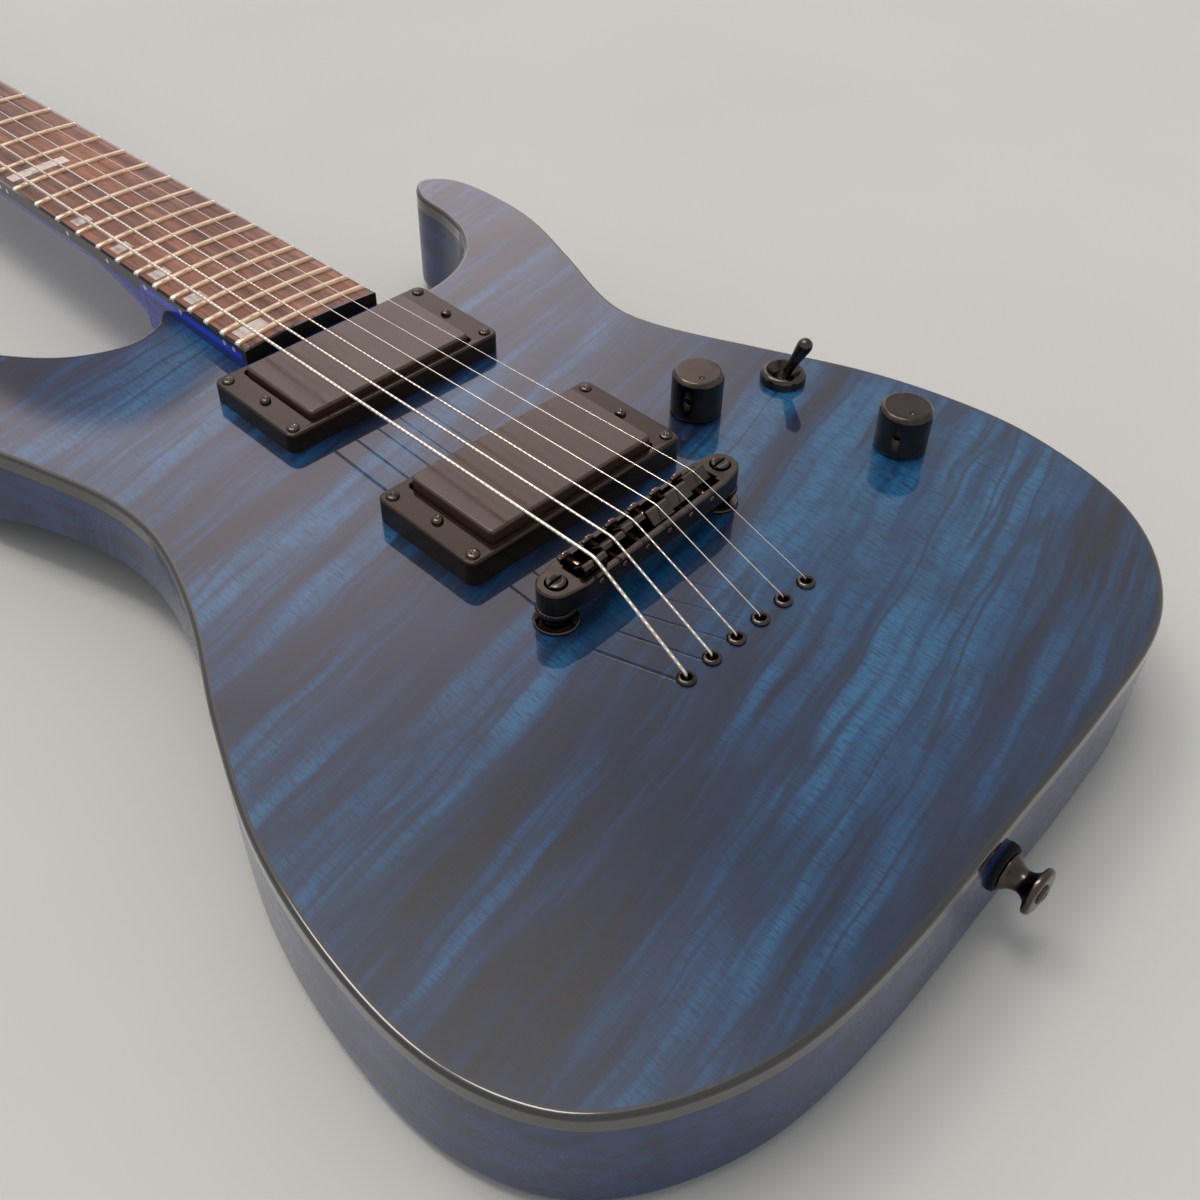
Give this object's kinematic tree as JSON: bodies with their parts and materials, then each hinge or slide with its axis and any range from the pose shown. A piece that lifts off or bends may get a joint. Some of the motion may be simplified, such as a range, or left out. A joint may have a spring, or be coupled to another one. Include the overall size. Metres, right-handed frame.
{
  "type": "electric guitar",
  "caption": "Solid-body electric guitar with closed pickups in rings, a bar bridge, strings through the body, turning knobs and tuners, and a toggle switch.",
  "frame": {"origin": "on the centre line at the bridge's scale line, on the flat of the body's back", "axes": "+X to the treble side, +Y to the headstock, +Z out of the top"},
  "size_m": [0.2908, 0.9427, 0.0643],
  "materials": {
    "top_blue": "see-through blue stain over flamed maple under a thick gloss clear coat",
    "side_blue": "dark blue stain under a gloss clear coat",
    "binding_black": "polished black",
    "rosewood": "oiled open-pored rosewood",
    "fret_nickel": "polished warm nickel",
    "pearl": "polished pearl",
    "black_plastic": "satin black",
    "black_gloss": "gloss black",
    "black_metal": "black nickel plate with warm reflections",
    "string_steel": "plain and wound steel",
    "inner_steel": "plain steel",
    "felt": "thick black felt",
    "wire": "black insulated wire"
  },
  "bodies": {
    "guitar": {"body_back": "side_blue", "body_top": "top_blue", "body_binding": "binding_black", "neck": "side_blue", "fingerboard": "rosewood", "fingerboard_binding": "binding_black", "frets": "fret_nickel", "position_markers": "pearl", "nut": "black_gloss", "truss_rod": "inner_steel", "truss_rod_cover": "black_gloss", "strings": "string_steel", "string_ferrules": "black_metal", "bridge_bushings": "black_metal", "pickup_rings": "black_gloss", "pickup_springs": "inner_steel", "screws": "black_metal", "pots": "inner_steel", "toggle_switch": "black_metal", "output_jack": "inner_steel", "jack_plate": "black_metal", "cavity_cover": "black_plastic", "battery": "black_plastic", "wiring": "wire", "strap_buttons": "black_metal", "strap_felts": "felt", "tuner_housings": "black_metal", "tuner_bushings": "black_metal"},
    "volume": {"volume_knob": "black_metal"},
    "tone": {"tone_knob": "black_metal"},
    "toggle": {"toggle_lever": "black_gloss"},
    "bridge": {"bridge_bar": "black_metal"},
    "stud_bass": {"bridge_stud_bass": "black_metal"},
    "stud_treble": {"bridge_stud_treble": "black_metal"},
    "bridge_pickup": {"bridge_pickup": "black_plastic"},
    "neck_pickup": {"neck_pickup": "black_plastic"},
    "saddle_1": {"saddle_1": "black_metal"},
    "saddle_2": {"saddle_2": "black_metal"},
    "saddle_3": {"saddle_3": "black_metal"},
    "saddle_4": {"saddle_4": "black_metal"},
    "saddle_5": {"saddle_5": "black_metal"},
    "saddle_6": {"saddle_6": "black_metal"},
    "saddle_screw_1": {"saddle_screw_1": "black_metal"},
    "saddle_screw_2": {"saddle_screw_2": "black_metal"},
    "saddle_screw_3": {"saddle_screw_3": "black_metal"},
    "saddle_screw_4": {"saddle_screw_4": "black_metal"},
    "saddle_screw_5": {"saddle_screw_5": "black_metal"},
    "saddle_screw_6": {"saddle_screw_6": "black_metal"},
    "tuner_post_1": {"tuner_post_1": "black_metal"},
    "tuner_post_2": {"tuner_post_2": "black_metal"},
    "tuner_post_3": {"tuner_post_3": "black_metal"},
    "tuner_post_4": {"tuner_post_4": "black_metal"},
    "tuner_post_5": {"tuner_post_5": "black_metal"},
    "tuner_post_6": {"tuner_post_6": "black_metal"},
    "tuner_button_1": {"tuner_button_1": "black_metal"},
    "tuner_button_2": {"tuner_button_2": "black_metal"},
    "tuner_button_3": {"tuner_button_3": "black_metal"},
    "tuner_button_4": {"tuner_button_4": "black_metal"},
    "tuner_button_5": {"tuner_button_5": "black_metal"},
    "tuner_button_6": {"tuner_button_6": "black_metal"}
  },
  "joints": [
    {"name": "volume_turn", "type": "hinge", "parent": "guitar", "child": "volume", "pos_m": [0.068, 0.034, 0.045], "axis": [0, 0, 1], "range_deg": [-150, 150]},
    {"name": "tone_turn", "type": "hinge", "parent": "guitar", "child": "tone", "pos_m": [0.102, -0.026, 0.045], "axis": [0, 0, 1], "range_deg": [-150, 150]},
    {"name": "toggle_throw", "type": "hinge", "parent": "guitar", "child": "toggle", "pos_m": [0.1035, 0.025, 0.0455], "axis": [-0.9925, -0.1219, 0], "range_deg": [0, 46]},
    {"name": "bridge_height", "type": "slide", "parent": "guitar", "child": "bridge", "axis": [0, 0, 1], "range_m": [-0.001, 0.002], "deforming": ["strings"]},
    {"name": "stud_bass_turn", "type": "hinge", "parent": "bridge", "child": "stud_bass", "pos_m": [-0.03656, -0.00642, 0.045], "axis": [0, 0, 1], "continuous": true},
    {"name": "stud_treble_turn", "type": "hinge", "parent": "bridge", "child": "stud_treble", "pos_m": [0.03656, -0.00298, 0.045], "axis": [0, 0, 1], "continuous": true},
    {"name": "saddle_1_slide", "type": "slide", "parent": "bridge", "child": "saddle_1", "axis": [-0.0471, 0.9989, 0], "range_m": [-0.0001, 0.0043], "deforming": ["strings"]},
    {"name": "saddle_screw_1_turn", "type": "hinge", "parent": "bridge", "child": "saddle_screw_1", "pos_m": [-0.02472, -0.00587, 0.0564], "axis": [-0.0471, 0.9989, 0], "continuous": true},
    {"name": "saddle_2_slide", "type": "slide", "parent": "bridge", "child": "saddle_2", "axis": [-0.0471, 0.9989, 0], "range_m": [-0.002, 0.0024], "deforming": ["strings"]},
    {"name": "saddle_screw_2_turn", "type": "hinge", "parent": "bridge", "child": "saddle_screw_2", "pos_m": [-0.01483, -0.0054, 0.0564], "axis": [-0.0471, 0.9989, 0], "continuous": true},
    {"name": "saddle_3_slide", "type": "slide", "parent": "bridge", "child": "saddle_3", "axis": [-0.0471, 0.9989, 0], "range_m": [-0.003, 0.0014], "deforming": ["strings"]},
    {"name": "saddle_screw_3_turn", "type": "hinge", "parent": "bridge", "child": "saddle_screw_3", "pos_m": [-0.00494, -0.00493, 0.0564], "axis": [-0.0471, 0.9989, 0], "continuous": true},
    {"name": "saddle_4_slide", "type": "slide", "parent": "bridge", "child": "saddle_4", "axis": [-0.0471, 0.9989, 0], "range_m": [-0.0001, 0.0043], "deforming": ["strings"]},
    {"name": "saddle_screw_4_turn", "type": "hinge", "parent": "bridge", "child": "saddle_screw_4", "pos_m": [0.00494, -0.00447, 0.0564], "axis": [-0.0471, 0.9989, 0], "continuous": true},
    {"name": "saddle_5_slide", "type": "slide", "parent": "bridge", "child": "saddle_5", "axis": [-0.0471, 0.9989, 0], "range_m": [-0.0013, 0.0031], "deforming": ["strings"]},
    {"name": "saddle_screw_5_turn", "type": "hinge", "parent": "bridge", "child": "saddle_screw_5", "pos_m": [0.01483, -0.004, 0.0564], "axis": [-0.0471, 0.9989, 0], "continuous": true},
    {"name": "saddle_6_slide", "type": "slide", "parent": "bridge", "child": "saddle_6", "axis": [-0.0471, 0.9989, 0], "range_m": [-0.0027, 0.0017], "deforming": ["strings"]},
    {"name": "saddle_screw_6_turn", "type": "hinge", "parent": "bridge", "child": "saddle_screw_6", "pos_m": [0.02472, -0.00353, 0.0564], "axis": [-0.0471, 0.9989, 0], "continuous": true},
    {"name": "bridge_pickup_height", "type": "slide", "parent": "guitar", "child": "bridge_pickup", "axis": [0, 0, 1], "range_m": [-0.0025, 0.0015], "deforming": ["pickup_springs"]},
    {"name": "neck_pickup_height", "type": "slide", "parent": "guitar", "child": "neck_pickup", "axis": [0, 0, 1], "range_m": [-0.0025, 0.0015], "deforming": ["pickup_springs"]},
    {"name": "tuner_button_1_turn", "type": "hinge", "parent": "guitar", "child": "tuner_button_1", "pos_m": [-0.049, 0.69019, 0.0162], "axis": [-1, 0, 0], "continuous": true, "deforming": ["strings"]},
    {"name": "tuner_post_1_turn", "type": "hinge", "parent": "guitar", "child": "tuner_post_1", "pos_m": [-0.022, 0.68429, 0.04238], "axis": [0, 0.0927, 0.9957], "continuous": true, "deforming": ["strings"]},
    {"name": "tuner_button_2_turn", "type": "hinge", "parent": "guitar", "child": "tuner_button_2", "pos_m": [-0.049, 0.72803, 0.01268], "axis": [-1, 0, 0], "continuous": true, "deforming": ["strings"]},
    {"name": "tuner_post_2_turn", "type": "hinge", "parent": "guitar", "child": "tuner_post_2", "pos_m": [-0.022, 0.72213, 0.03886], "axis": [0, 0.0927, 0.9957], "continuous": true, "deforming": ["strings"]},
    {"name": "tuner_button_3_turn", "type": "hinge", "parent": "guitar", "child": "tuner_button_3", "pos_m": [-0.049, 0.76586, 0.00915], "axis": [-1, 0, 0], "continuous": true, "deforming": ["strings"]},
    {"name": "tuner_post_3_turn", "type": "hinge", "parent": "guitar", "child": "tuner_post_3", "pos_m": [-0.022, 0.75997, 0.03533], "axis": [0, 0.0927, 0.9957], "continuous": true, "deforming": ["strings"]},
    {"name": "tuner_button_4_turn", "type": "hinge", "parent": "guitar", "child": "tuner_button_4", "pos_m": [0.049, 0.76586, 0.00915], "axis": [1, 0, 0], "continuous": true, "deforming": ["strings"]},
    {"name": "tuner_post_4_turn", "type": "hinge", "parent": "guitar", "child": "tuner_post_4", "pos_m": [0.022, 0.75997, 0.03533], "axis": [0, 0.0927, 0.9957], "continuous": true, "deforming": ["strings"]},
    {"name": "tuner_button_5_turn", "type": "hinge", "parent": "guitar", "child": "tuner_button_5", "pos_m": [0.049, 0.72803, 0.01268], "axis": [1, 0, 0], "continuous": true, "deforming": ["strings"]},
    {"name": "tuner_post_5_turn", "type": "hinge", "parent": "guitar", "child": "tuner_post_5", "pos_m": [0.022, 0.72213, 0.03886], "axis": [0, 0.0927, 0.9957], "continuous": true, "deforming": ["strings"]},
    {"name": "tuner_button_6_turn", "type": "hinge", "parent": "guitar", "child": "tuner_button_6", "pos_m": [0.049, 0.69019, 0.0162], "axis": [1, 0, 0], "continuous": true, "deforming": ["strings"]},
    {"name": "tuner_post_6_turn", "type": "hinge", "parent": "guitar", "child": "tuner_post_6", "pos_m": [0.022, 0.68429, 0.04238], "axis": [0, 0.0927, 0.9957], "continuous": true, "deforming": ["strings"]}
  ],
  "couplings": [
    {"joint": "stud_bass_turn", "follows": "bridge_height", "rad_per_m": 5026.5},
    {"joint": "stud_treble_turn", "follows": "bridge_height", "rad_per_m": 5026.5},
    {"joint": "saddle_screw_1_turn", "follows": "saddle_1_slide", "rad_per_m": 12566},
    {"joint": "saddle_screw_2_turn", "follows": "saddle_2_slide", "rad_per_m": 12566},
    {"joint": "saddle_screw_3_turn", "follows": "saddle_3_slide", "rad_per_m": 12566},
    {"joint": "saddle_screw_4_turn", "follows": "saddle_4_slide", "rad_per_m": 12566},
    {"joint": "saddle_screw_5_turn", "follows": "saddle_5_slide", "rad_per_m": 12566},
    {"joint": "saddle_screw_6_turn", "follows": "saddle_6_slide", "rad_per_m": 12566},
    {"joint": "tuner_post_1_turn", "follows": "tuner_button_1_turn", "ratio": 0.066667},
    {"joint": "tuner_post_2_turn", "follows": "tuner_button_2_turn", "ratio": 0.066667},
    {"joint": "tuner_post_3_turn", "follows": "tuner_button_3_turn", "ratio": 0.066667},
    {"joint": "tuner_post_4_turn", "follows": "tuner_button_4_turn", "ratio": 0.066667},
    {"joint": "tuner_post_5_turn", "follows": "tuner_button_5_turn", "ratio": 0.066667},
    {"joint": "tuner_post_6_turn", "follows": "tuner_button_6_turn", "ratio": 0.066667}
  ]
}
